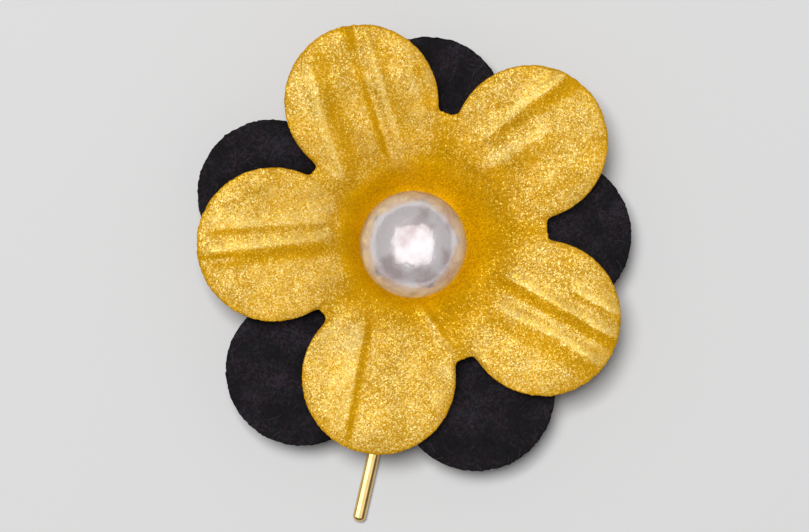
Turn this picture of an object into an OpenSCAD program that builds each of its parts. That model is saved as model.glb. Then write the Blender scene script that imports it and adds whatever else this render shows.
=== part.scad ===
// Flower lapel pin: two pressed paper flowers, one gold over one black, with
// a pearl glued in the gold bowl and a stick pin glued on the back.
// It lies on its back: +Z is the flower's face, +Y the top of the flower,
// and the origin is the centre of the pad's back. All sizes are in millimetres.

/* [Glue] */
// Gap that the glue fills between two pieces
glue_gap = 0.05; // [0.02:0.01:0.15]

/* [Petals of both flowers] */
// Distance from a flower's centre to the middle of a petal's round head
petal_reach = 13.7; // [13.3:0.1:14.4]
// Radius of a petal's round head
head_r = 7.2; // [6.6:0.1:7.4]
// Radius of the web that joins the petals at the foot of the notches
web_r = 11.8; // [11.5:0.1:12.4]
// Thickness of the pressed paper
paper_t = 0.5; // [0.3:0.05:0.8]
// Width of the band along the cut edge that turns down
rim_w = 2.2; // [1:0.1:3]
// How far that band turns down at the cut edge
rim_drop = 0.35; // [0.1:0.05:0.5]
// Height of the tallest pressed fold
fold_h = 0.35; // [0.1:0.05:0.5]
// Width of one flank of a plain fold
fold_w = 0.8; // [0.6:0.1:1.2]

/* [Gold flower] */
// Gold flower's centre, to the right of the pad's centre
gold_x = -0.3; // [-1:0.1:0.5]
// Gold flower's centre, above the pad's centre
gold_y = 1.3; // [0.5:0.1:1.8]
// Radius of the gold bowl's flat floor
gold_floor_r = 4.2; // [3.8:0.1:4.8]
// Radius at which the gold bowl's wall meets the petals
gold_bowl_r = 7.6; // [7:0.1:8]
// Depth of the gold bowl
gold_bowl_h = 2.4; // [2:0.1:3]
// Rise of the gold petals above the top of the bowl
gold_rise = 2.4; // [1.2:0.1:2.6]

/* [Black flower] */
// Black flower's centre, to the right of the pad's centre
black_x = -1.4; // [-1.8:0.1:-0.5]
// Black flower's centre, above the pad's centre
black_y = -1.1; // [-1.5:0.1:-0.5]
// How far the black bowl stands out from the gold one, where they come closest
black_ledge = 0.4; // [0.2:0.1:0.6]
// Depth of the black bowl
black_bowl_h = 1.4; // [0.8:0.1:1.5]
// Rise of the black petals above the top of the bowl
black_rise = 1.4; // [0.8:0.1:1.7]

/* [Pearl] */
// Diameter of the pearl
pearl_d = 10; // [9:0.25:11]
// Diameter of the flat by which the pearl is glued
pearl_flat_d = 3.6; // [2.5:0.1:4.5]
// Pearl's middle, to the right of the gold flower's centre
pearl_x = -0.4; // [-0.8:0.1:0.8]
// Pearl's middle, above the gold flower's centre
pearl_y = -0.8; // [-1:0.1:0.8]

/* [Stick pin] */
// Diameter of the glued pad
pad_d = 10; // [8:0.5:12]
// Thickness of the glued pad, which leaves room for cloth under the stem
pad_t = 2.1; // [1.8:0.1:2.6]
// Diameter of the wire stem
wire_d = 1.25; // [1.1:0.05:1.4]
// Height of the stem's underside above the pad's back
wire_lift = 0.05; // [0.02:0.01:0.08]
// Distance from the pad's centre to the stem's tip
wire_reach = 26.5; // [24:0.5:60]
// How far the stem leans to the left of straight down, in degrees
wire_lean = 12.9; // [0:0.1:20]
// Radius of the rounding round the stem's blunt tip
tip_r = 0.5; // [0.2:0.05:0.5]

/* [Hidden] */

// Columns of a petal table: where the petal points, in degrees from +X, then
// its reach, its head and the web after it, as shares of the named sizes, and
// how far it rises as a share of its flower's rise
ANGLE = 0;
REACH = 1;
HEAD = 2;
WEB = 3;
RISE = 4;
gold_petals = [
    [39.6, 1.00, 1.00, 1.00, 1.00],
    [112.6, 0.99, 1.00, 0.97, 1.05],
    [183.4, 0.98, 1.00, 0.97, 0.94],
    [254.8, 1.00, 1.00, 1.04, 0.92],
    [326.8, 1.02, 1.01, 1.03, 1.03],
];
black_petals = [
    [10.2, 1.03, 1.02, 1.00, 1.00],
    [81.3, 1.02, 1.02, 1.00, 0.90],
    [153.1, 1.03, 0.97, 1.00, 1.05],
    [226.1, 1.03, 0.99, 1.00, 1.10],
    [298.4, 1.02, 1.03, 1.00, 0.95],
];

// Columns of a fold table: the petal that is folded, the fold's two ends along
// it as shares of its length, the fold's place across it at each end as shares
// of the head, then its height, negative for a groove, and the widths of its
// left and right flanks seen along the petal, as shares of the named sizes.
// A fold that ends past 1 runs out over the edge.
PETAL = 0;
FROM = 1;
TO = 2;
SIDE_FROM = 3;
SIDE_TO = 4;
HEIGHT = 5;
LEFT = 6;
RIGHT = 7;
gold_folds = [
    [0, 0.44, 1.08, 0.43, 0.37, 0.8, 1.1, 1.6],
    [0, 0.80, 1.14, 0.36, 0.34, 0.35, 1.5, 2.1],
    [0, 0.36, 0.80, 0.12, -0.06, 0.7, 2.5, 2.4],
    [0, 0.44, 0.80, -0.50, -0.54, 0.4, 2.0, 2.0],
    [1, 0.30, 0.98, 0.59, 0.40, 0.9, 1.0, 2.4],
    [1, 0.32, 0.70, 0.00, -0.04, 0.35, 1.6, 0.9],
    [1, 0.30, 1.08, -0.04, -0.33, -0.8, 0.9, 1.0],
    [1, 0.34, 0.96, -0.26, -0.32, 0.5, 0.9, 2.0],
    [1, 0.86, 1.12, -0.24, -0.27, -0.6, 1.2, 1.2],
    [1, 0.46, 0.74, -0.70, -0.74, 0.45, 1.8, 1.4],
    [2, 0.34, 0.98, -0.21, -0.21, 0.6, 1.0, 3.0],
    [2, 0.34, 1.00, 0.01, 0.11, 0.85, 1.2, 1.7],
    [2, 0.40, 0.80, -0.62, -0.80, 0.3, 1.5, 2.0],
    [3, 0.36, 1.02, -0.37, -0.22, 0.65, 1.1, 3.8],
    [3, 0.25, 0.49, 0.27, 1.02, 1.0, 0.9, 0.9],
    [3, 0.36, 0.62, 0.50, 0.70, -0.85, 1.6, 1.6],
    [4, 0.36, 1.08, 0.17, 0.31, 0.9, 1.5, 1.2],
    [4, 0.40, 1.08, -0.24, -0.10, 0.85, 1.5, 2.1],
    [4, 0.66, 1.08, 0.49, 0.60, 0.6, 1.2, 1.0],
];
black_folds = [
    [0, 0.45, 1.05, 0.22, 0.14, -0.4, 1.4, 1.4],
    [0, 0.48, 1.05, -0.24, -0.14, -0.35, 1.4, 1.4],
    [1, 0.50, 1.05, 0.10, 0.05, -0.4, 1.4, 1.4],
    [2, 0.48, 1.00, 0.20, -0.15, -0.4, 1.6, 1.6],
    [3, 0.48, 1.00, -0.05, 0.10, -0.45, 1.4, 1.4],
    [4, 0.48, 1.05, 0.02, -0.08, -0.45, 1.4, 1.4],
];

// Shares of the way up the bowl's wall, and of the way out along a petal, at
// which the sheet is sampled
BOWL_STEPS = [0, 0.33, 0.67, 1];
GOLD_STEPS = [0.1, 0.22, 0.35, 0.48, 0.61, 0.73, 0.84, 0.93, 1];
BLACK_STEPS = [0.16, 0.34, 0.54, 0.73, 0.88, 1];
// Number of steps round the head of one petal
gold_head_n = 32;
black_head_n = 22;
// Share of a fold's length over which it dies away at each end
FOLD_FADE = 0.17;
// Half of the angle at the bowl's edge from which one petal spreads, in degrees
petal_spread = 33;

// Black bowl: it takes in the gold one, which sits off its centre
hub_shift = norm([gold_x - black_x, gold_y - black_y]);
black_floor_r = gold_floor_r + hub_shift + black_ledge;
black_bowl_r = gold_bowl_r + hub_shift + black_ledge;

// Heights of the flat floors, each sheet on the one below
black_z = pad_t + glue_gap;
gold_z = black_z + paper_t + glue_gap;
pearl_z = gold_z + paper_t + glue_gap;

function unit(a) = [cos(a), sin(a)];
function ease(t) = t * t * (3 - 2 * t);
function mix(a, b, t) = a + (b - a) * t;
function sum(v) = v * [for (x = v) 1];

// Angle round a petal's head, from its middle line to where it meets the web
function head_sweep(reach, head, web) =
    acos((web * web - reach * reach - head * head) / (2 * reach * head));

// Height of one fold at a point of the sheet, a smooth hump across its line
function fold_at(p, fold, petal) = let (
    along = p * unit(petal[ANGLE]) / (petal_reach + head_r),
    across = p * unit(petal[ANGLE] + 90),
    t = (along - fold[FROM]) / (fold[TO] - fold[FROM]),
    middle = mix(fold[SIDE_FROM], fold[SIDE_TO], t) * head_r,
    flank = fold[across > middle ? LEFT : RIGHT] * fold_w,
    hump = 1 - pow((across - middle) / flank, 2)
) (t <= 0 || t >= 1 || hump <= 0) ? 0
    : fold_h * fold[HEIGHT] * hump * hump * ease(min(1, t / FOLD_FADE, (1 - t) / FOLD_FADE));

function folds_at(p, folds, petals) = sum([for (fold = folds) fold_at(p, fold, petals[fold[PETAL]])]);

// Lines along which a sheet is sampled, from the bowl's edge to the cut edge:
// the angle at the bowl, the point of the outline and the line's rise
function petal_lines(petals, head_n) = [
    for (k = [0:len(petals) - 1]) let (
        this = petals[k],
        last = petals[(k + len(petals) - 1) % len(petals)],
        next = petals[(k + 1) % len(petals)],
        reach = this[REACH] * petal_reach,
        head = this[HEAD] * head_r,
        from = -head_sweep(reach, head, last[WEB] * web_r),
        to = head_sweep(reach, head, this[WEB] * web_r),
        pitch = 360 / len(petals),
        web_angle = this[ANGLE] + (next[ANGLE] - this[ANGLE] + 360) % 360 / 2
    ) each [
        for (i = [0:head_n]) let (
            sweep = mix(from, to, i / head_n),
            spread = petal_spread * mix(-1, 1, i / head_n),
            beside = spread < 0 ? last : next
        ) [
            this[ANGLE] + spread,
            reach * unit(this[ANGLE]) + head * unit(this[ANGLE] + sweep),
            mix(this[RISE], beside[RISE], ease(abs(spread) / pitch))
        ],
        [web_angle, this[WEB] * web_r * unit(web_angle), (this[RISE] + next[RISE]) / 2]
    ]
];

// Columns of a flower's sizes: the radius of its flat floor, the radius of its
// bowl, the bowl's depth and the rise of the petals above it
FLOOR_R = 0;
BOWL_R = 1;
BOWL_H = 2;
PETAL_H = 3;

// Top of the sheet at one point: the bowl, the rising petal, its turned edge
// and its folds
function sheet_point(p, rise, edge, size, petals, folds) = let (
    r = norm(p),
    bowl = ease(min(1, max(0, (r - size[FLOOR_R]) / (size[BOWL_R] - size[FLOOR_R])))),
    out = max(0, (r - size[BOWL_R]) / (petal_reach + head_r - size[BOWL_R])),
    turned = max(0, 1 - edge / rim_w)
) [
    p.x,
    p.y,
    paper_t + size[BOWL_H] * bowl + size[PETAL_H] * rise * out * (2 - out)
        - rim_drop * turned * turned + folds_at(p, folds, petals)
];

// A pressed flower with its flat floor on Z = 0
module pressed_flower(petals, folds, size, head_n, petal_steps) {
    lines = petal_lines(petals, head_n);
    n = len(lines);
    bowl_rings = [
        for (s = BOWL_STEPS) let (r = mix(size[FLOOR_R], size[BOWL_R], s)) [
            for (line = lines) sheet_point(r * unit(line[0]), line[2], rim_w, size, petals, folds)
        ]
    ];
    petal_rings = [
        for (s = petal_steps) [
            for (line = lines) let (
                foot = size[BOWL_R] * unit(line[0]),
                edge = norm(line[1] - foot) * (1 - s)
            ) sheet_point(mix(foot, line[1], s), line[2], edge, size, petals, folds)
        ]
    ];
    rings = concat(bowl_rings, petal_rings);
    m = len(rings);
    top = [for (ring = rings) each ring];
    under = [for (p = top) p - [0, 0, paper_t]];
    middle = [[0, 0, paper_t], [0, 0, 0]];
    low = m * n;
    faces = [
        for (i = [0:n - 1]) let (j = (i + 1) % n) each [
            [2 * low, j, i],
            [2 * low + 1, low + i, low + j],
            [low - n + i, low - n + j, 2 * low - n + j],
            [low - n + i, 2 * low - n + j, 2 * low - n + i],
            for (k = [0:m - 2]) let (a = k * n, b = a + n) each [
                [a + i, a + j, b + j],
                [a + i, b + j, b + i],
                [low + a + i, low + b + j, low + a + j],
                [low + a + i, low + b + i, low + b + j]
            ]
        ]
    ];
    polyhedron(concat(top, under, middle), faces);
}

// Gold flower, face up on the black one
module gold_flower() {
    size = [gold_floor_r, gold_bowl_r, gold_bowl_h, gold_rise];
    color("goldenrod")
        translate([gold_x, gold_y, gold_z])
            pressed_flower(gold_petals, gold_folds, size, gold_head_n, GOLD_STEPS);
}

// Black flower from the same die, flatter, turned and shifted under the gold one
module black_flower() {
    size = [black_floor_r, black_bowl_r, black_bowl_h, black_rise];
    color([0.13, 0.12, 0.13])
        translate([black_x, black_y, black_z])
            pressed_flower(black_petals, black_folds, size, black_head_n, BLACK_STEPS);
}

// Pearl, a ball with a small flat that is glued to the gold bowl's floor
module pearl() {
    flat_z = sqrt(pow(pearl_d / 2, 2) - pow(pearl_flat_d / 2, 2));
    color("ivory")
        translate([gold_x + pearl_x, gold_y + pearl_y, pearl_z])
            difference() {
                translate([0, 0, flat_z])
                    sphere(d = pearl_d, $fn = 96);
                translate([0, 0, -pearl_d / 2])
                    cube(pearl_d, center = true);
            }
}

// Half outline of the stem: a straight wire with a blunt, rounded tip
module stem_profile() {
    wire_r = wire_d / 2;
    square([wire_r, wire_reach - tip_r]);
    square([wire_r - tip_r, wire_reach]);
    intersection() {
        translate([wire_r - tip_r, wire_reach - tip_r])
            circle(r = tip_r, $fn = 48);
        square([wire_r, wire_reach]);
    }
}

// Stick pin: a round pad and a wire stem soldered into its rim, one piece
module stick_pin() {
    color("gold") {
        cylinder(d = pad_d, h = pad_t, $fn = 96);
        translate([0, 0, wire_lift + wire_d / 2])
            rotate([90, 0, -wire_lean])
                rotate_extrude($fn = 48)
                    stem_profile();
    }
}

gold_flower();
black_flower();
pearl();
stick_pin();
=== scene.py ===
import math

import bmesh
import bpy
import numpy as np
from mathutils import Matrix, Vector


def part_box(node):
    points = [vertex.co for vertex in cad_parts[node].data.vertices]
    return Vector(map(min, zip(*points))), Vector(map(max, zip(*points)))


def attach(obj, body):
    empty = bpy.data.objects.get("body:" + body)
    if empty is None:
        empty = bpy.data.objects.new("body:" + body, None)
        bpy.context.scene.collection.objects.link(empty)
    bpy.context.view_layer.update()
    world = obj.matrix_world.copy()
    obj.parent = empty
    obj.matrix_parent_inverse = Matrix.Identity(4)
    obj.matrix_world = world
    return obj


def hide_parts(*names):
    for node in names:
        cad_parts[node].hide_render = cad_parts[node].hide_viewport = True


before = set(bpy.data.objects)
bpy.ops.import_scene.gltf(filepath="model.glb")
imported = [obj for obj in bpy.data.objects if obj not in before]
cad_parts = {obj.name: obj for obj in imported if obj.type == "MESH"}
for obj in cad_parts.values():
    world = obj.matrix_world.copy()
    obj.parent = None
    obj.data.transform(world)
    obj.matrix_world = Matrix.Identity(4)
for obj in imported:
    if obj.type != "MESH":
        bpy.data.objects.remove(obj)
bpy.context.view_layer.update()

mm = 0.001  # sizes below are in millimetres, and every mesh is made in metres
rng = np.random.default_rng(12)

# The photograph's frame: its size in pixels, what a pixel is at the gold petals, and the
# pixel at which the pad's centre lies. The camera stands at the distance above the petals' plane.
photo = {"width": 809, "height": 532, "mmPerPixel": 0.0935, "padX": 420.6, "padY": 249.9,
         "distance": 300.0, "petalPlane": 6.5}

# Both flowers are cut and pressed in one die. reach is how far out the middle of a petal's head
# lies, web how far out the notch beside it, and spread, in degrees, half of what a petal takes up
# round the bowl. foldFade is the share of a fold's length over which it dies away.
die = {"reach": 13.7, "head": 7.2, "web": 11.8, "paper": 0.5, "rimBand": 2.2, "rimDrop": 0.35,
       "spread": 33.0, "foldFade": 0.17, "edgeRound": 0.07, "edgeRag": 0.03}


# Shared helpers

def feed(tree, node, inputs):
    # An input is a value, or another node's socket to link
    for key, value in inputs.items():
        if isinstance(value, bpy.types.NodeSocket):
            tree.links.new(value, node.inputs[key])
        else:
            node.inputs[key].default_value = value


def putNode(tree, kind, inputs=None, **settings):
    node = tree.nodes.new(kind)
    for name, value in settings.items():
        setattr(node, name, value)
    feed(tree, node, inputs or {})
    return node


def newMaterial(name):
    material = bpy.data.materials.new(name)
    material.use_nodes = True
    tree = material.node_tree
    tree.nodes.clear()
    output = tree.nodes.new("ShaderNodeOutputMaterial")
    shader = tree.nodes.new("ShaderNodeBsdfPrincipled")
    tree.links.new(shader.outputs["BSDF"], output.inputs["Surface"])
    return material, tree, shader


def arithmetic(tree, operation, a, b=0.0):
    return putNode(tree, "ShaderNodeMath", {0: a, 1: b}, operation=operation).outputs[0]


def times(tree, a, b):
    return arithmetic(tree, "MULTIPLY", a, b)


def objectSpot(tree):
    return putNode(tree, "ShaderNodeTexCoord").outputs["Object"]


def noise(tree, vector, size, detail=3.0):
    # Noise whose blobs are about the given size in millimetres
    return putNode(tree, "ShaderNodeTexNoise", {"Vector": vector, "Scale": 0.5 / (size * mm),
                                                "Detail": detail}).outputs["Fac"]


def cellColours(tree, vector, size):
    # Small cells about the given size in millimetres, each of a random colour
    return putNode(tree, "ShaderNodeTexVoronoi", {"Vector": vector, "Scale": 1 / (size * mm)}).outputs["Color"]


def channels(tree, colour):
    return putNode(tree, "ShaderNodeSeparateColor", {0: colour}).outputs


def remap(tree, value, low, high, start=0.0, stop=1.0):
    # A value from start to stop becomes one from low to high, and is held there beyond them
    return putNode(tree, "ShaderNodeMapRange", {"Value": value, 1: start, 2: stop, 3: low, 4: high}).outputs[0]


def blots(tree, vector, size, low, high, detail=3.0):
    # Noise, which is mostly between 0.3 and 0.7, made to run from low to high
    return remap(tree, noise(tree, vector, size, detail), low, high, 0.3, 0.7)


def bumps(tree, height, depth, strength=1.0):
    return putNode(tree, "ShaderNodeBump", {"Height": height, "Strength": strength,
                                            "Distance": depth * mm}).outputs["Normal"]


def mixColours(tree, factor, a, b, blend="MIX"):
    # Each of factor, a and b is a value or colour, or a socket
    a, b = ((*c, 1) if isinstance(c, tuple) else c for c in (a, b))
    return putNode(tree, "ShaderNodeMix", {0: factor, 6: a, 7: b}, data_type="RGBA", blend_type=blend).outputs[2]


def rampColours(tree, factor, stops):
    ramp = putNode(tree, "ShaderNodeValToRGB", {"Fac": factor})
    elements = ramp.color_ramp.elements
    elements[0].position, elements[0].color = stops[0][0], (*stops[0][1], 1)
    elements[1].position, elements[1].color = stops[-1][0], (*stops[-1][1], 1)
    for position, colour in stops[1:-1]:
        elements.new(position).color = (*colour, 1)
    return ramp.outputs["Color"]


def meshObject(name, vertices, faces, material, smooth=True):
    mesh = bpy.data.meshes.new(name)
    mesh.from_pydata(np.asarray(vertices).tolist(), [], faces)
    mesh.polygons.foreach_set("use_smooth", [smooth] * len(mesh.polygons))
    mesh.materials.append(material)
    piece = bpy.data.objects.new(name, mesh)
    bpy.context.scene.collection.objects.link(piece)
    return piece


def place(piece, node):
    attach(piece, "root")
    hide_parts(node)
    print(piece.name, len(piece.data.polygons), "faces")


def ease(t):
    t = np.clip(t, 0, 1)
    return t * t * (3 - 2 * t)


# Finishes

def goldPaint():
    # Mustard paint full of mica: each small cell has its own share of mica and faces its own way.
    # share is how many of the cells are bright, least and most how bright a cell may be, and a
    # Range is what its blots run over.
    look = {"paint": (0.475, 0.232, 0.002), "bowl": (0.71, 0.37, 0.0015), "smear": (0.5, 0.3, 0.09),
            "golden": (1.0, 0.85, 0.14), "cream": (1.0, 0.97, 0.58), "sunk": (1.0, 0.75, 0.05),
            "cell": 0.115, "tilt": 0.24, "share": 0.8, "least": 0.06, "most": 0.75, "glow": 0.35,
            "grainRange": (0.8, 1.2), "cloud": 0.9, "cloudRange": (0.55, 1.35), "wash": 3.0,
            "washRange": (0.75, 1.2), "mottle": 1.6, "mottleRange": (0.84, 1.12), "smearSize": 2.4,
            "smearMost": 0.6, "smearFrom": 0.6, "smearFull": 0.74, "rough": 0.47, "index": 2.8}
    material, tree, shader = newMaterial("goldPaint")
    spot = objectSpot(tree)
    face = putNode(tree, "ShaderNodeNewGeometry").outputs["Normal"]
    shine = putNode(tree, "ShaderNodeAttribute", attribute_name="shine").outputs["Fac"]
    bowlPaintedLight = putNode(tree, "ShaderNodeAttribute", attribute_name="bowlPaintedLight").outputs["Fac"]
    cells = cellColours(tree, spot, look["cell"])
    centred = putNode(tree, "ShaderNodeVectorMath", {0: cells, 1: (0.5, 0.5, 0.5)}, operation="SUBTRACT").outputs[0]
    leaning = putNode(tree, "ShaderNodeVectorMath", {0: centred, "Scale": 2 * look["tilt"]},
                      operation="SCALE").outputs[0]
    tilted = putNode(tree, "ShaderNodeVectorMath", {0: face, 1: leaning}).outputs[0]
    tilted = putNode(tree, "ShaderNodeVectorMath", {0: tilted}, operation="NORMALIZE").outputs[0]
    grainPick, tintPick, micaPick = channels(tree, cells)
    cloud = blots(tree, spot, look["cloud"], *look["cloudRange"])
    wash = blots(tree, spot, look["wash"], *look["washRange"], detail=1.0)
    share = times(tree, times(tree, times(tree, cloud, wash), shine), look["share"])
    mica = remap(tree, micaPick, times(tree, shine, look["least"]), look["most"],
                 arithmetic(tree, "SUBTRACT", 1.0, share))
    mottle = blots(tree, spot, look["mottle"], *look["mottleRange"], detail=5.0)
    grain = remap(tree, grainPick, *look["grainRange"])
    # The colour lightens with the mica, so the folds' painted shade and painted highlight show in it too
    glow = arithmetic(tree, "ADD", times(tree, mica, look["glow"]), 1.0)  # mica is bright from its side too
    # The bowl's paint is lighter than the petals': painted light that lifts the shade in the bowl
    colour = mixColours(tree, bowlPaintedLight, look["paint"], look["bowl"])
    colour = mixColours(tree, 1.0, colour, times(tree, times(tree, mottle, grain), glow), "MULTIPLY")
    smears = remap(tree, noise(tree, spot, look["smearSize"], detail=4.0), 0.0, look["smearMost"],
                   look["smearFrom"], look["smearFull"])
    colour = mixColours(tree, times(tree, smears, shine), colour, look["smear"])
    # The mica is a cream gloss over the paint, so its dull side shows plain mustard. Where it
    # lies thin the paint has covered it, and it shines through golden.
    sparkle = mixColours(tree, tintPick, look["golden"], look["cream"])
    feed(tree, shader, {"Base Color": colour, "Specular Tint": mixColours(tree, shine, look["sunk"], sparkle),
                        "Specular IOR Level": mica, "Normal": tilted, "Roughness": look["rough"],
                        "IOR": look["index"]})
    return material


def blackPaper():
    # Dyed pulp: a dark felt whose fine lumps lean to purple here and to blue there
    look = {"felt": 0.19, "cell": 0.13, "lump": 0.45, "patch": 1.4,
            "tones": [(0.18, (0.0012, 0.0008, 0.0011)), (0.36, (0.0044, 0.0032, 0.0041)),
                      (0.6, (0.0165, 0.0125, 0.0155))],
            "hue": 0.5, "purpleAt": 0.38, "blueAt": 0.62, "purple": (1.12, 0.92, 1.08), "blue": (0.86, 1.05, 1.14),
            "nap": 0.05, "napStrength": 0.6, "rough": 0.85, "gloss": 0.15}
    material, tree, shader = newMaterial("blackPaper")
    spot = objectSpot(tree)
    felt = noise(tree, spot, look["felt"], detail=6.0)
    lump = times(tree, channels(tree, cellColours(tree, spot, look["cell"]))[0], look["lump"])
    tone = times(tree, arithmetic(tree, "ADD", felt, lump), noise(tree, spot, look["patch"]))
    hue = remap(tree, noise(tree, spot, look["hue"], detail=4.0), 0.0, 1.0, look["purpleAt"], look["blueAt"])
    tint = mixColours(tree, hue, look["purple"], look["blue"])
    colour = mixColours(tree, 1.0, rampColours(tree, tone, look["tones"]), tint, "MULTIPLY")
    feed(tree, shader, {"Base Color": colour, "Normal": bumps(tree, felt, look["nap"], look["napStrength"]),
                        "Roughness": look["rough"], "Specular IOR Level": look["gloss"]})
    return material


def pearlCoat():
    # A thin coat of nacre, with darker mauve blots, and gently dented
    look = {"tones": [(0.36, (0.57, 0.47, 0.475)), (0.54, (0.79, 0.735, 0.75))], "blot": 1.2, "turn": -70.0,
            "dent": 0.5, "dentDeep": 0.055, "metal": 0.5, "rough": 0.2, "coat": 0.3, "coatRough": 0.15}
    material, tree, shader = newMaterial("pearlCoat")
    low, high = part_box("pearl")
    middle = np.array([low.x + high.x, low.y + high.y]) / 2
    across, up = unit(look["turn"])
    back = middle - [across * middle[0] - up * middle[1], up * middle[0] + across * middle[1]]
    # The blots are turned round the bead's own axis
    spot = putNode(tree, "ShaderNodeMapping", {"Vector": objectSpot(tree), "Location": (*back, 0),
                                               "Rotation": (0, 0, math.radians(look["turn"]))}).outputs["Vector"]
    dents = bumps(tree, noise(tree, spot, look["dent"]), look["dentDeep"])
    feed(tree, shader, {"Base Color": rampColours(tree, noise(tree, spot, look["blot"], detail=5.0), look["tones"]),
                        "Normal": dents, "Coat Normal": dents, "Roughness": look["rough"],
                        "Metallic": look["metal"], "Coat Weight": look["coat"],
                        "Coat Roughness": look["coatRough"]})
    return material


def polishedBrass():
    # Where it is smeared it is a little paler and less sharp
    look = {"smear": 0.6, "tones": [(0.3, (0.69, 0.46, 0.165)), (0.7, (0.79, 0.57, 0.25))],
            "roughRange": (0.08, 0.18)}
    material, tree, shader = newMaterial("polishedBrass")
    smear = noise(tree, objectSpot(tree), look["smear"], detail=4.0)
    feed(tree, shader, {"Base Color": rampColours(tree, smear, look["tones"]),
                        "Roughness": remap(tree, smear, *look["roughRange"]), "Metallic": 1.0})
    return material


# The pressed flowers

def unit(degrees):
    return np.array([math.cos(math.radians(degrees)), math.sin(math.radians(degrees))])


def headSweep(reach, head, web):
    # How far round its head a petal's edge runs, from its middle line to the notch
    return math.degrees(math.acos((web * web - reach * reach - head * head) / (2 * reach * head)))


def petalLines(flower):
    # A line runs from the bowl's edge to the cut edge: its angle, its end and its petal's rise
    petals, count = flower["petals"], flower["headSteps"]
    angles, ends, rises = [], [], []
    for k, (angle, reach, head, web, rise) in enumerate(petals):
        lastPetal, nextPetal = petals[k - 1], petals[(k + 1) % len(petals)]
        reachMm, headMm, webMm = reach * die["reach"], head * die["head"], web * die["web"]
        start = -headSweep(reachMm, headMm, lastPetal[3] * die["web"])
        stop = headSweep(reachMm, headMm, webMm)
        for share in np.linspace(0, 1, count + 1):
            spread = die["spread"] * (2 * share - 1)
            beside = lastPetal if spread < 0 else nextPetal
            turned = float(ease(abs(spread) * len(petals) / 360))
            angles.append(angle + spread)
            ends.append(reachMm * unit(angle) + headMm * unit(angle + start + (stop - start) * share))
            rises.append(rise + (beside[4] - rise) * turned)
        gap = (nextPetal[0] - angle) % 360
        outFrom = (math.degrees(math.atan2(ends[-1][1], ends[-1][0])) - angle) % 360
        for i in range(1, flower["webSteps"]):
            share = i / flower["webSteps"]
            angles.append(angle + die["spread"] + (gap - 2 * die["spread"]) * share)
            ends.append(webMm * unit(angle + outFrom + (gap - 2 * outFrom) * share))
            rises.append((rise + nextPetal[4]) / 2)
    ends = np.array(ends)
    for k in range(flower["softens"]):  # rounds the corners of the notches
        ends = ends / 2 + (np.roll(ends, 1, axis=0) + np.roll(ends, -1, axis=0)) / 4
    return np.radians(angles), ends, np.array(rises)


# How much mica lies on the gold, which sets its gloss and lightens its colour. On the flank of a fold
# that faces away from the lamp it is cut back, as painted shade, in a band that begins at the crest and
# is a set number of flanks wide. It lies thick on a crest and on the near flank, which faces the lamp,
# as painted highlight. There is less of it near the rim and on the cut edge, and it is thin in the bowl
# and the webs, where each number is the share that is left. Each From is where a change begins, and
# each Over how much it takes. The last two set where the bowl's lighter paint fades out, which is
# painted light that lifts the shade in the bowl.
micaAndPaintedShade = {"shadeWide": 1.4, "shadeHard": 3.2, "crestHighlight": 1.2, "crestFrom": 0.08, "crestOver": 0.16,
        "crestShadeStop": 0.12, "near": 0.4, "nearOver": 0.35, "far": 0.7, "farOver": 0.42,
        "rim": 0.65, "rimOver": 0.35, "cut": 0.5, "bowl": 0.25, "web": 0.22, "webFrom": 1.27,
        "webOver": 0.4, "bowlLightFrom": 5.6, "bowlLightOver": 2.4}


def foldHeights(x, y, flower):
    # A fold's two flanks have widths of their own, so that one is steep and one gentle. The second
    # result is above 0 on the flank that faces away from the lamp, which faces the same way all over a
    # petal, and there the mica is cut back as painted shade; it is below 0 on the near flank, which faces
    # the lamp, where the mica is thickened as painted highlight.
    total, shadedFlank = np.zeros_like(x), np.zeros_like(x)
    length = die["reach"] + die["head"]
    for petal, start, stop, sideStart, sideStop, bow, height, wideLeft, wideRight in flower["folds"]:
        axis = unit(flower["petals"][petal][0])
        along = (x * axis[0] + y * axis[1]) / length
        across = y * axis[0] - x * axis[1]
        t = (along - start) / (stop - start)
        middle = (sideStart + (sideStop - sideStart) * t + 4 * bow * t * (1 - t)) * die["head"]
        offset = across - middle
        wide = np.where(offset > 0, wideLeft, wideRight)
        hump = np.clip(1 - (offset / wide) ** 2, 0, None)
        ends = ease(np.minimum(t, 1 - t) / die["foldFade"])
        total += height * hump ** 2 * ends
        # A band of painted shade on the far flank and of painted highlight on the near one
        shadeWidth = micaAndPaintedShade["shadeWide"] * wide
        shadeBand = np.clip(1 - (offset / shadeWidth) ** 2, 0, None) * np.sign(offset) * np.sqrt(abs(offset) / shadeWidth)
        shadedFlank -= flower["shadedSide"][petal] * height * micaAndPaintedShade["shadeHard"] * shadeBand / wide * ends
    return total, shadedFlank


def shadedMicaShare(folds, shadedFlank, edge):
    # Mica share: painted highlight on crests and near flanks, painted shade on far flanks, less near the rim
    crestHighlight = ease((folds - micaAndPaintedShade["crestFrom"]) / micaAndPaintedShade["crestOver"]) * (1 - ease(shadedFlank / micaAndPaintedShade["crestShadeStop"]))
    thick = (1 + micaAndPaintedShade["crestHighlight"] * crestHighlight) * (1 + micaAndPaintedShade["near"] * ease(-shadedFlank / micaAndPaintedShade["nearOver"]))
    rim = micaAndPaintedShade["rim"] + (1 - micaAndPaintedShade["rim"]) * ease(edge / micaAndPaintedShade["rimOver"])
    return thick * (1 - micaAndPaintedShade["far"] * ease(shadedFlank / micaAndPaintedShade["farOver"])) * rim


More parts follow.
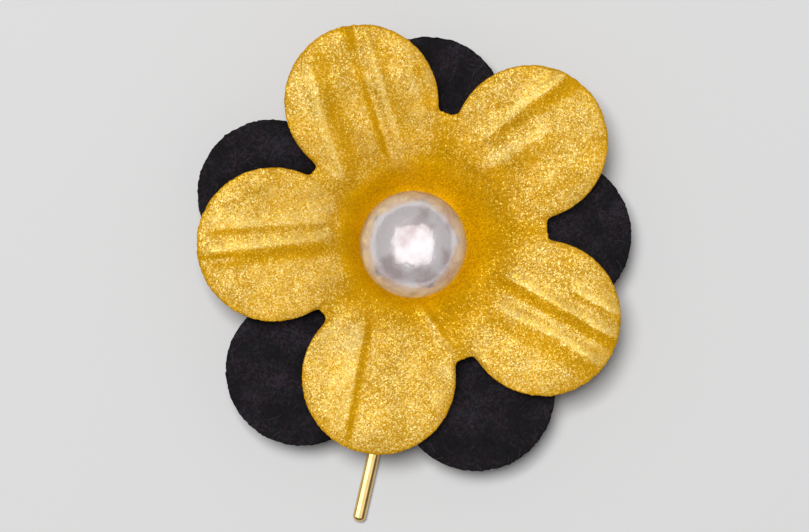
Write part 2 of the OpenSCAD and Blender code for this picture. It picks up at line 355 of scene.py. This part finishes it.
def undulations(x, y, flower):
    # Soft dents of the damp paper: many faint waves of mixed length and direction. shortest is
    # the shortest wave as a share of the longest.
    total, shortest = np.zeros_like(x), 0.6
    for longest, height in flower["dents"]:
        for k in range(flower["dentWaves"]):
            wave = 2 * math.pi / (longest * rng.uniform(shortest, 1.0))
            way = rng.uniform(0, 2 * math.pi)
            total += height * np.sin(wave * (x * math.cos(way) + y * math.sin(way)) + rng.uniform(0, 2 * math.pi))
    return total


def sheetHeights(x, y, rise, edge, flower):
    # The height of the sheet's upper side, and its mica share, with painted shade and highlight on folds
    radius = np.hypot(x, y)
    bowl = ease((radius - flower["floorR"]) / (flower["bowlR"] - flower["floorR"]))
    out = np.clip((radius - flower["bowlR"]) / (die["reach"] + die["head"] - flower["bowlR"]), 0, None)
    turned = np.clip(1 - edge / die["rimBand"], 0, None)
    folds, shadedFlank = foldHeights(x, y, flower)
    return (die["paper"] + flower["bowlH"] * bowl + flower["petalH"] * rise * out * (2 - out)
            - die["rimDrop"] * turned ** 2 + folds), shadedMicaShare(folds, shadedFlank, edge)


def pressedFlower(flower, material):
    angles, ends, rises = petalLines(flower)
    n = len(angles)
    ends = ends * (1 + die["edgeRag"] * rng.standard_normal((n, 1)) / np.linalg.norm(ends, axis=1, keepdims=True))
    compass = np.stack([np.cos(angles), np.sin(angles)], 1)
    foot = compass * flower["bowlR"]
    length = np.linalg.norm(ends - foot, axis=1)
    rings = [(compass * radius, np.full(n, die["rimBand"]))
             for radius in np.linspace(0, flower["bowlR"], flower["bowlRings"] + 1)[1:]]
    for s in np.linspace(0, 1, flower["petalRings"] + 1)[1:]:
        share = s * (1 - die["edgeRound"] / length)
        rings.append((foot + (ends - foot) * share[:, None], length * (1 - share)))
    flat = np.concatenate([xy for xy, edge in rings])
    edge = np.concatenate([edge for xy, edge in rings])
    z, micaShaded = sheetHeights(flat[:, 0], flat[:, 1], np.tile(rises, len(rings)), edge, flower)
    z += undulations(flat[:, 0], flat[:, 1], flower) * ease(np.hypot(flat[:, 0], flat[:, 1]) / flower["floorR"] - 1)
    top = np.column_stack([flat, z])
    m = len(rings)
    rimTop = np.column_stack([ends, z[-n:] - die["edgeRound"]])
    rimLow = np.column_stack([ends, z[-n:] - die["paper"] + die["edgeRound"]])
    under = (top - [0, 0, die["paper"]]).reshape(m, n, 3)[::-1].reshape(-1, 3)
    # Rows run out over the top, down the cut edge and back under the sheet
    vertices = np.concatenate([top, rimTop, rimLow, under, [[0, 0, die["paper"]], [0, 0, 0]]])
    rows = 2 * m + 2
    faces = []
    for k in range(rows - 1):
        for i in range(n):
            j = (i + 1) % n
            faces.append((k * n + i, (k + 1) * n + i, (k + 1) * n + j, k * n + j))
    last = (rows - 1) * n
    for i in range(n):
        j = (i + 1) % n
        faces.append((rows * n, i, j))
        faces.append((rows * n + 1, last + j, last + i))
    shine = micaShare(vertices, flower)
    # The upper side's mica takes the folds' painted shade and painted highlight
    shine[:m * n] *= micaShaded
    shine[(m - 1) * n:(m + 3) * n] *= micaAndPaintedShade["cut"]
    # Where the bowl's lighter paint lies, painted light against the bowl's shade
    bowlPaintedLight = 1 - ease((np.hypot(vertices[:, 0], vertices[:, 1]) - micaAndPaintedShade["bowlLightFrom"]) / micaAndPaintedShade["bowlLightOver"])
    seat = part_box(flower["node"])[0].z / mm
    piece = meshObject(flower["name"], (vertices + [*flower["centre"], seat]) * mm, faces, material)
    for name, values in (("shine", shine), ("bowlPaintedLight", bowlPaintedLight)):
        piece.data.attributes.new(name, "FLOAT", "POINT").data.foreach_set("value", values.astype(np.float32))
    place(piece, flower["node"])
    return piece


def micaShare(vertices, flower):
    # Mica lies full on the petals' heads. heads is how far a point is from the middle of the
    # nearest head, as a share of the head, and begins and blends are that petal's own.
    x, y = vertices[:, 0], vertices[:, 1]
    heads, begins, blends = np.full(len(x), np.inf), np.zeros(len(x)), np.ones(len(x))
    for (angle, reach, head, web, rise), (begin, blend) in zip(flower["petals"], flower["mica"]):
        middle = unit(angle) * reach * die["reach"]
        share = np.hypot(x - middle[0], y - middle[1]) / (head * die["head"])
        begins, blends = np.where(share < heads, begin, begins), np.where(share < heads, blend, blends)
        heads = np.minimum(heads, share)
    outward = micaAndPaintedShade["bowl"] + (1 - micaAndPaintedShade["bowl"]) * ease((np.hypot(x, y) - begins) / blends)
    return outward * (micaAndPaintedShade["web"] + (1 - micaAndPaintedShade["web"]) * ease((micaAndPaintedShade["webFrom"] - heads) / micaAndPaintedShade["webOver"]))


# Columns of a petal: where it points, then its reach, head and next web as shares of the
# die's, and its rise. Columns of a fold: the petal, its two ends along it as shares of its
# length, its place across at each end and its bow as shares of the head, its height, and the
# widths of its left and right flanks. Columns of a dent: its longest wave and its height.
# Columns of the mica, one row per petal: how far out it begins, and over how far it thickens.
# The side of a petal's folds that faces away from the lamp, where painted shade lies, is the right, 1,
# or the left, -1. Radii are from the flower's centre, and bowlH and petalH are how high the bowl and the petals
# rise.
goldFlower = {
    "name": "goldPetals", "node": "gold_flower", "slot": "gold_paper", "centre": (-0.3, 1.3),
    "floorR": 4.2, "bowlR": 7.6, "bowlH": 2.4, "petalH": 2.4,
    "headSteps": 120, "webSteps": 8, "bowlRings": 16, "petalRings": 52,
    "dents": [(5.5, 0.02), (2.4, 0.005), (1.2, 0.0025)], "dentWaves": 14, "softens": 6,
    "mica": [(7.0, 5.0), (6.0, 3.0), (6.9, 1.4), (6.8, 3.5), (7.0, 4.5)], "shadedSide": (1, 1, -1, -1, 1),
    "petals": [
        (39.6, 1.00, 1.00, 1.00, 1.00),
        (112.6, 0.99, 1.00, 0.97, 1.05),
        (183.4, 0.98, 1.00, 0.97, 0.94),
        (254.8, 1.00, 1.00, 1.04, 0.92),
        (326.8, 1.02, 1.01, 1.03, 1.03),
    ],
    "folds": [
        (0, 0.44, 1.08, 0.43, 0.37, 0.00, 0.28, 1.4, 1.3),
        (0, 0.80, 1.14, 0.36, 0.34, 0.00, 0.12, 1.2, 1.7),
        (0, 0.36, 0.80, 0.12, -0.06, 0.00, 0.24, 2.0, 1.9),
        (0, 0.44, 0.80, -0.50, -0.54, 0.00, 0.13, 1.6, 1.6),
        (1, 0.30, 0.98, 0.59, 0.40, 0.03, 0.28, 1.4, 1.7),
        (1, 0.32, 0.70, 0.00, -0.04, 0.00, 0.12, 1.3, 0.5),
        (1, 0.30, 1.08, -0.04, -0.33, 0.01, -0.18, 0.8, 1.0),
        (1, 0.34, 0.96, -0.26, -0.32, 0.00, 0.18, 1.0, 1.6),
        (1, 0.86, 1.12, -0.24, -0.27, 0.00, -0.20, 1.0, 1.0),
        (1, 0.46, 0.74, -0.70, -0.74, 0.00, 0.16, 1.4, 1.1),
        (2, 0.34, 0.98, -0.25, -0.24, 0.00, 0.20, 0.75, 2.4),
        (2, 0.34, 1.00, -0.03, 0.07, 0.00, 0.32, 1.25, 1.35),
        (2, 0.80, 1.00, 0.13, 0.155, 0.00, -0.12, 0.4, 0.4),
        (2, 0.40, 0.80, -0.62, -0.80, 0.00, 0.10, 1.2, 1.6),
        (3, 0.36, 1.02, -0.37, -0.22, 0.00, 0.18, 0.65, 3.0),
        (3, 0.25, 0.47, 0.13, 0.86, 0.00, 0.27, 1.1, 1.1),
        (3, 0.36, 0.62, 0.62, 0.82, 0.00, -0.16, 1.3, 1.6),
        (4, 0.36, 1.08, 0.17, 0.31, 0.00, 0.32, 1.2, 0.95),
        (4, 0.40, 1.08, -0.24, -0.10, 0.03, 0.30, 1.2, 1.7),
        (4, 0.66, 1.08, 0.49, 0.60, 0.00, 0.24, 1.2, 1.0),
    ],
}

# The black bowl takes in the gold one, which sits off its centre, with a ledge round it
blackCentre, ledge = (-1.4, -1.1), 0.4
hubShift = math.dist(goldFlower["centre"], blackCentre)
blackFlower = {
    "name": "blackPetals", "node": "black_flower", "slot": "black_paper", "centre": blackCentre,
    "floorR": goldFlower["floorR"] + hubShift + ledge, "bowlR": goldFlower["bowlR"] + hubShift + ledge,
    "bowlH": 1.4, "petalH": 1.4,
    "headSteps": 130, "webSteps": 8, "bowlRings": 12, "petalRings": 32,
    "dents": [(6.0, 0.02), (2.0, 0.003)], "dentWaves": 14, "softens": 6, "mica": [(0.0, 1.0)] * 5,
    "shadedSide": (0, 0, 0, 0, 0),
    "petals": [
        (10.2, 1.03, 1.02, 1.00, 1.00),
        (81.3, 1.02, 1.02, 1.00, 0.90),
        (153.1, 1.03, 0.97, 1.00, 1.05),
        (226.1, 1.03, 0.99, 1.00, 1.10),
        (298.4, 1.02, 1.03, 1.00, 0.95),
    ],
    "folds": [
        (0, 0.45, 1.05, 0.22, 0.14, 0.00, -0.14, 1.1, 1.1),
        (0, 0.48, 1.05, -0.24, -0.14, 0.00, -0.12, 1.1, 1.1),
        (1, 0.50, 1.05, 0.10, 0.05, 0.00, -0.14, 1.1, 1.1),
        (2, 0.48, 1.00, 0.20, -0.15, 0.00, -0.14, 1.3, 1.3),
        (3, 0.48, 1.00, -0.05, 0.10, 0.00, -0.16, 1.1, 1.1),
        (4, 0.48, 1.05, 0.02, -0.08, 0.00, -0.16, 1.1, 1.1),
    ],
}


# Loose fibres that lie on the black paper

# A fibre's length and bend are drawn between the least and the most shares of these. It lies
# where the sheet faces up by more than facing, the upward part of its normal.
fibreSizes = {"perSquareMm": 0.3, "length": 1.0, "bend": 0.2, "least": (0.3, 0.1), "most": (1.5, 1.6),
              "thick": 0.035, "sides": 4, "bends": 6, "facing": 0.7, "seed": 4}


def pulpFibre():
    look = {"blot": 1.0, "tones": [(0.35, (0.006, 0.005, 0.007)), (0.7, (0.038, 0.034, 0.042))], "rough": 0.7}
    material, tree, shader = newMaterial("pulpFibre")
    blot = noise(tree, objectSpot(tree), look["blot"])
    feed(tree, shader, {"Base Color": rampColours(tree, blot, look["tones"]), "Roughness": look["rough"]})
    return material


def fibreTree():
    # Scatters bent threads on the upper side of a sheet and lays them down on it
    tree = bpy.data.node_groups.new("pulpFibres", "GeometryNodeTree")
    for name, kind in (("Sheet", "Geometry"), ("Density", "Float"), ("Length", "Float"), ("Bend", "Float"),
                       ("Thickness", "Float"), ("Seed", "Int"), ("Material", "Material")):
        tree.interface.new_socket(name, in_out="INPUT", socket_type="NodeSocket" + kind)
    tree.interface.new_socket("Fibres", in_out="OUTPUT", socket_type="NodeSocketGeometry")
    given = tree.nodes.new("NodeGroupInput").outputs
    normal = tree.nodes.new("GeometryNodeInputNormal").outputs[0]
    upward = putNode(tree, "ShaderNodeSeparateXYZ", {0: normal}).outputs[2]
    points = putNode(tree, "GeometryNodeDistributePointsOnFaces",
                     {"Mesh": given["Sheet"],
                      "Selection": arithmetic(tree, "GREATER_THAN", upward, fibreSizes["facing"]),
                      "Density": given["Density"], "Seed": given["Seed"]}).outputs["Points"]
    half = arithmetic(tree, "DIVIDE", given["Length"], 2.0)
    thread = putNode(tree, "GeometryNodeCurveQuadraticBezier", {
        "Resolution": fibreSizes["bends"],
        "Start": putNode(tree, "ShaderNodeCombineXYZ", {0: times(tree, half, -1.0)}).outputs[0],
        "Middle": putNode(tree, "ShaderNodeCombineXYZ", {1: given["Bend"]}).outputs[0],
        "End": putNode(tree, "ShaderNodeCombineXYZ", {0: half}).outputs[0]}).outputs[0]
    turn = putNode(tree, "FunctionNodeRandomValue", {0: (0, 0, 0), 1: (0, 0, 2 * math.pi), "Seed": 1},
                   data_type="FLOAT_VECTOR").outputs[0]
    size = putNode(tree, "FunctionNodeRandomValue", {0: (*fibreSizes["least"], 1), 1: (*fibreSizes["most"], 1),
                                                     "Seed": 2}, data_type="FLOAT_VECTOR").outputs[0]
    threads = putNode(tree, "GeometryNodeInstanceOnPoints", {"Points": points, "Instance": thread, "Rotation": turn,
                                                             "Scale": size}).outputs[0]
    loose = putNode(tree, "GeometryNodeRealizeInstances", {0: threads}).outputs[0]
    nearest = putNode(tree, "GeometryNodeProximity", {0: given["Sheet"]}, target_element="FACES").outputs["Position"]
    laid = putNode(tree, "GeometryNodeSetPosition", {"Geometry": loose, "Position": nearest}).outputs[0]
    section = putNode(tree, "GeometryNodeCurvePrimitiveCircle", {
        "Resolution": fibreSizes["sides"], "Radius": arithmetic(tree, "DIVIDE", given["Thickness"], 2.0)}).outputs[0]
    solid = putNode(tree, "GeometryNodeCurveToMesh", {"Curve": laid, "Profile Curve": section,
                                                      "Fill Caps": True}).outputs[0]
    whole = putNode(tree, "GeometryNodeRealizeInstances", {0: solid}).outputs[0]
    painted = putNode(tree, "GeometryNodeSetMaterial", {"Geometry": whole, "Material": given["Material"]}).outputs[0]
    putNode(tree, "NodeGroupOutput", {"Fibres": painted})
    return tree


def paperFibres(sheet, material):
    piece = bpy.data.objects.new("paperFibres", sheet.data.copy())
    bpy.context.scene.collection.objects.link(piece)
    tree = fibreTree()
    scatter = piece.modifiers.new("pulpFibres", "NODES")
    scatter.node_group = tree
    values = {"Density": fibreSizes["perSquareMm"] / mm ** 2, "Length": fibreSizes["length"] * mm,
              "Bend": fibreSizes["bend"] * mm, "Thickness": fibreSizes["thick"] * mm, "Seed": fibreSizes["seed"],
              "Material": material}
    for socket in tree.interface.items_tree:
        if socket.name in values:
            scatter[socket.identifier] = values[socket.name]
    fibres = bpy.data.meshes.new_from_object(piece.evaluated_get(bpy.context.evaluated_depsgraph_get()))
    piece.modifiers.clear()
    piece.data = fibres
    place(piece, "black_flower")
    return piece


# The pearl

pearlSizes = {"diameter": 10.0, "flat": 3.6, "rings": 96, "segments": 128}


def pearl(material):
    # A bead with a glued flat underneath, made in rings from the top down
    low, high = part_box("pearl")
    radius = pearlSizes["diameter"] / 2 * mm
    centre = np.array([(low.x + high.x) / 2, (low.y + high.y) / 2, high.z - radius])
    rings, segments = pearlSizes["rings"], pearlSizes["segments"]
    flatAngle = math.asin(pearlSizes["flat"] / pearlSizes["diameter"])
    turns = np.linspace(0, 2 * math.pi, segments, endpoint=False)
    rows = [[[0, 0, radius]]]
    for polar in np.linspace(0, math.pi - flatAngle, rings + 1)[1:]:
        across = radius * math.sin(polar)
        rows.append(np.column_stack([across * np.cos(turns), across * np.sin(turns),
                                     np.full(segments, radius * math.cos(polar))]))
    rows.append([[0, 0, -radius * math.cos(flatAngle)]])
    points = np.concatenate(rows)
    faces = []
    for i in range(segments):
        j = (i + 1) % segments
        last = 1 + (rings - 1) * segments
        faces += [(0, 1 + i, 1 + j), (len(points) - 1, last + j, last + i)]
        for a in range(1, last, segments):
            faces.append((a + i, a + segments + i, a + segments + j, a + j))
    piece = meshObject("pearlBead", points + centre, faces, material)
    place(piece, "pearl")
    return piece


# The stick pin

# The solder is a fillet round the wire. It begins solderIn inside the pad's rim, and the wire
# itself begins at inside, so that the two overlap. lean is to the left of straight down.
pinSizes = {"pad": 10.0, "padHigh": 2.1, "padRound": 0.25, "padSides": 128, "roundSteps": 4,
            "wire": 1.25, "lift": 0.05, "inside": 2.0, "reach": 26.5, "lean": 12.9, "sides": 48,
            "tip": 0.5, "tipSteps": 12, "solder": 0.35, "solderIn": 0.4, "solderLong": 1.2,
            "solderSteps": 8, "sharpEdge": 35.0}


def stickPin(material):
    pad = bmesh.new()
    bmesh.ops.create_cone(pad, cap_ends=True, segments=pinSizes["padSides"], radius1=pinSizes["pad"] / 2,
                          radius2=pinSizes["pad"] / 2, depth=pinSizes["padHigh"])
    bmesh.ops.translate(pad, verts=pad.verts, vec=(0, 0, pinSizes["padHigh"] / 2))
    level = 1e-6  # two ends of an edge at one height lie closer than this
    rims = [edge for edge in pad.edges if abs(edge.verts[0].co.z - edge.verts[1].co.z) < level]
    bmesh.ops.bevel(pad, geom=rims, offset=pinSizes["padRound"], segments=pinSizes["roundSteps"], profile=0.5,
                    affect="EDGES")
    padMesh = bpy.data.meshes.new("pad")
    pad.to_mesh(padMesh)
    wireR, sides = pinSizes["wire"] / 2, pinSizes["sides"]
    tip = [(pinSizes["reach"] - pinSizes["tip"] * (1 - math.sin(a)), wireR - pinSizes["tip"] * (1 - math.cos(a)))
           for a in np.linspace(0, math.pi / 2, pinSizes["tipSteps"] + 1)]
    solder = [(pinSizes["pad"] / 2 - pinSizes["solderIn"] + pinSizes["solderLong"] * t,
               wireR + pinSizes["solder"] * (1 - t) ** 2) for t in np.linspace(0, 1, pinSizes["solderSteps"] + 1)]
    # The stem in rings of points from inside the pad to the tip. The solder stays above the pad's back.
    stations = [(pinSizes["inside"], wireR + pinSizes["solder"])] + solder + tip
    around = np.linspace(0, 2 * math.pi, sides, endpoint=False)
    height = pinSizes["lift"] + wireR
    rows = []
    for along, radius in stations:
        up = np.clip(height + radius * np.sin(around), pinSizes["lift"], None)
        rows.append(np.column_stack([radius * np.cos(around), np.full(sides, -along), up]))
    points = np.concatenate(rows + [[[0, -stations[0][0], height]], [[0, -pinSizes["reach"], height]]])
    lean = math.radians(-pinSizes["lean"])
    turned = points.copy()
    turned[:, 0] = points[:, 0] * math.cos(lean) - points[:, 1] * math.sin(lean)
    turned[:, 1] = points[:, 0] * math.sin(lean) + points[:, 1] * math.cos(lean)
    faces = []
    for i in range(sides):
        j = (i + 1) % sides
        last = (len(rows) - 1) * sides
        faces += [(len(points) - 2, i, j), (len(points) - 1, last + j, last + i)]
        faces += [(a + j, a + i, a + sides + i, a + sides + j) for a in range(0, last, sides)]
    wire = meshObject("wire", turned, faces, material)
    piece = bpy.data.objects.new("stickPin", padMesh)
    padMesh.materials.append(material)
    bpy.context.scene.collection.objects.link(piece)
    join = piece.modifiers.new("solder", "BOOLEAN")
    join.operation, join.object, join.solver = "UNION", wire, "EXACT"
    depsgraph = bpy.context.evaluated_depsgraph_get()
    joined = bpy.data.meshes.new_from_object(piece.evaluated_get(depsgraph))
    piece.modifiers.clear()
    piece.data = joined
    joined.name = "stickPin"
    bpy.data.objects.remove(wire)
    joined.transform(((mm, 0, 0, 0), (0, mm, 0, 0), (0, 0, mm, 0), (0, 0, 0, 1)))
    joined.polygons.foreach_set("use_smooth", [True] * len(joined.polygons))
    joined.set_sharp_from_angle(angle=math.radians(pinSizes["sharpEdge"]))
    place(piece, "stick_pin")
    return piece


# The floor, the lights and the camera

# The floor and the lamps are in metres. sky is the light from all round.
room = {"floorHalf": 1.5, "floorTones": [(0.0, (0.79, 0.79, 0.79)), (1.0, (0.81, 0.81, 0.81))],
        "floorBlot": 80.0, "floorRough": 0.9, "floorGloss": 0.1, "sky": 0.17}


def areaLight(name, where, width, radiance, skips=(), clears=(), mirrored=True):
    # Aimed at the pin, with the radiance of its face. It lights all but what it skips, what it
    # clears throws no shadow from it, and it shows in a gloss only where it is mirrored.
    light = bpy.data.lights.new(name, "AREA")
    light.shape, light.size = "SQUARE", width
    light.energy = radiance * math.pi * width ** 2
    lamp = bpy.data.objects.new(name, light)
    lamp.location = where
    lamp.rotation_euler = (-lamp.location).to_track_quat("-Z", "Y").to_euler()
    lamp.visible_camera, lamp.visible_glossy = False, mirrored
    bpy.context.scene.collection.objects.link(lamp)
    for use, chosen in (("receiver_collection", skips), ("blocker_collection", clears)):
        if chosen:
            group = bpy.data.collections.new(name + "Leaves")
            for piece in chosen:
                group.objects.link(piece)
            for entry in group.collection_objects:
                entry.light_linking.link_state = "EXCLUDE"
            setattr(lamp.light_linking, use, group)


def studio(gold, black, fibres, bead, pin):
    material, tree, shader = newMaterial("paleFloor")
    blot = noise(tree, objectSpot(tree), room["floorBlot"])
    feed(tree, shader, {"Base Color": rampColours(tree, blot, room["floorTones"]),
                        "Roughness": room["floorRough"], "Specular IOR Level": room["floorGloss"]})
    half = room["floorHalf"]
    floor = meshObject("floor", [(-half, -half, 0), (half, -half, 0), (half, half, 0), (-half, half, 0)],
                       [(0, 1, 2, 3)], material, smooth=False)
    # The key, in the upper left, lights the floor and the black paper and throws the shadows, and
    # the softbox fills in the black paper and the wire. The gold's relief is lit aslant, and the
    # gold, the bead and the wire each have lamps of their own.
    areaLight("softbox", (0, 0, 0.62), 1.16, 1.1, [floor, gold, bead])
    areaLight("beadBox", (0, 0, 0.62), 1.16, 1.34, [floor, gold, black, fibres, pin])
    areaLight("goldFill", (0, 0, 0.62), 1.8, 1.0, [floor, black, fibres, bead, pin])
    areaLight("goldSide", (-0.23, 0.27, 0.95), 0.26, 20.0, [floor, black, fibres, bead, pin], [bead])
    areaLight("keyLight", (-0.12, 0.17, 1.0), 0.33, 23.2, [gold, bead, pin])
    areaLight("beadLight", (-0.068, 0.078, 1.0), 0.32, 11.0, [floor, gold, black, fibres, pin], mirrored=False)
    areaLight("wireLight", (-0.4, 0.092, 0.42), 0.7, 2.4, [floor, gold, black, fibres, bead])
    pin.visible_diffuse = False  # its glints would fleck the floor
    world = bpy.data.worlds.new("studioWorld")
    world.use_nodes = True
    feed(world.node_tree, world.node_tree.nodes["Background"], {"Color": (1, 1, 1, 1), "Strength": room["sky"]})
    bpy.context.scene.world = world
    bpy.context.scene.view_settings.view_transform = "Standard"


def photoCamera():
    # Straight above, framed as the photograph is
    scale, sensor = photo["mmPerPixel"] * mm, 36.0
    camera = bpy.data.cameras.new("photoCamera")
    camera.sensor_width = sensor
    camera.lens = sensor * photo["distance"] * mm / (photo["width"] * scale)
    camera.clip_start, camera.clip_end = 0.01, 20.0
    holder = bpy.data.objects.new("photoCamera", camera)
    holder.location = ((photo["width"] / 2 - photo["padX"]) * scale, (photo["padY"] - photo["height"] / 2) * scale,
                       (photo["petalPlane"] + photo["distance"]) * mm)
    bpy.context.scene.collection.objects.link(holder)
    bpy.context.scene.camera = holder


goldPetals = pressedFlower(goldFlower, goldPaint())
blackPetals = pressedFlower(blackFlower, blackPaper())
fibres = paperFibres(blackPetals, pulpFibre())
bead = pearl(pearlCoat())
brassPin = stickPin(polishedBrass())
print("pieces made")
photoCamera()
studio(goldPetals, blackPetals, fibres, bead, brassPin)
print("studio ready")
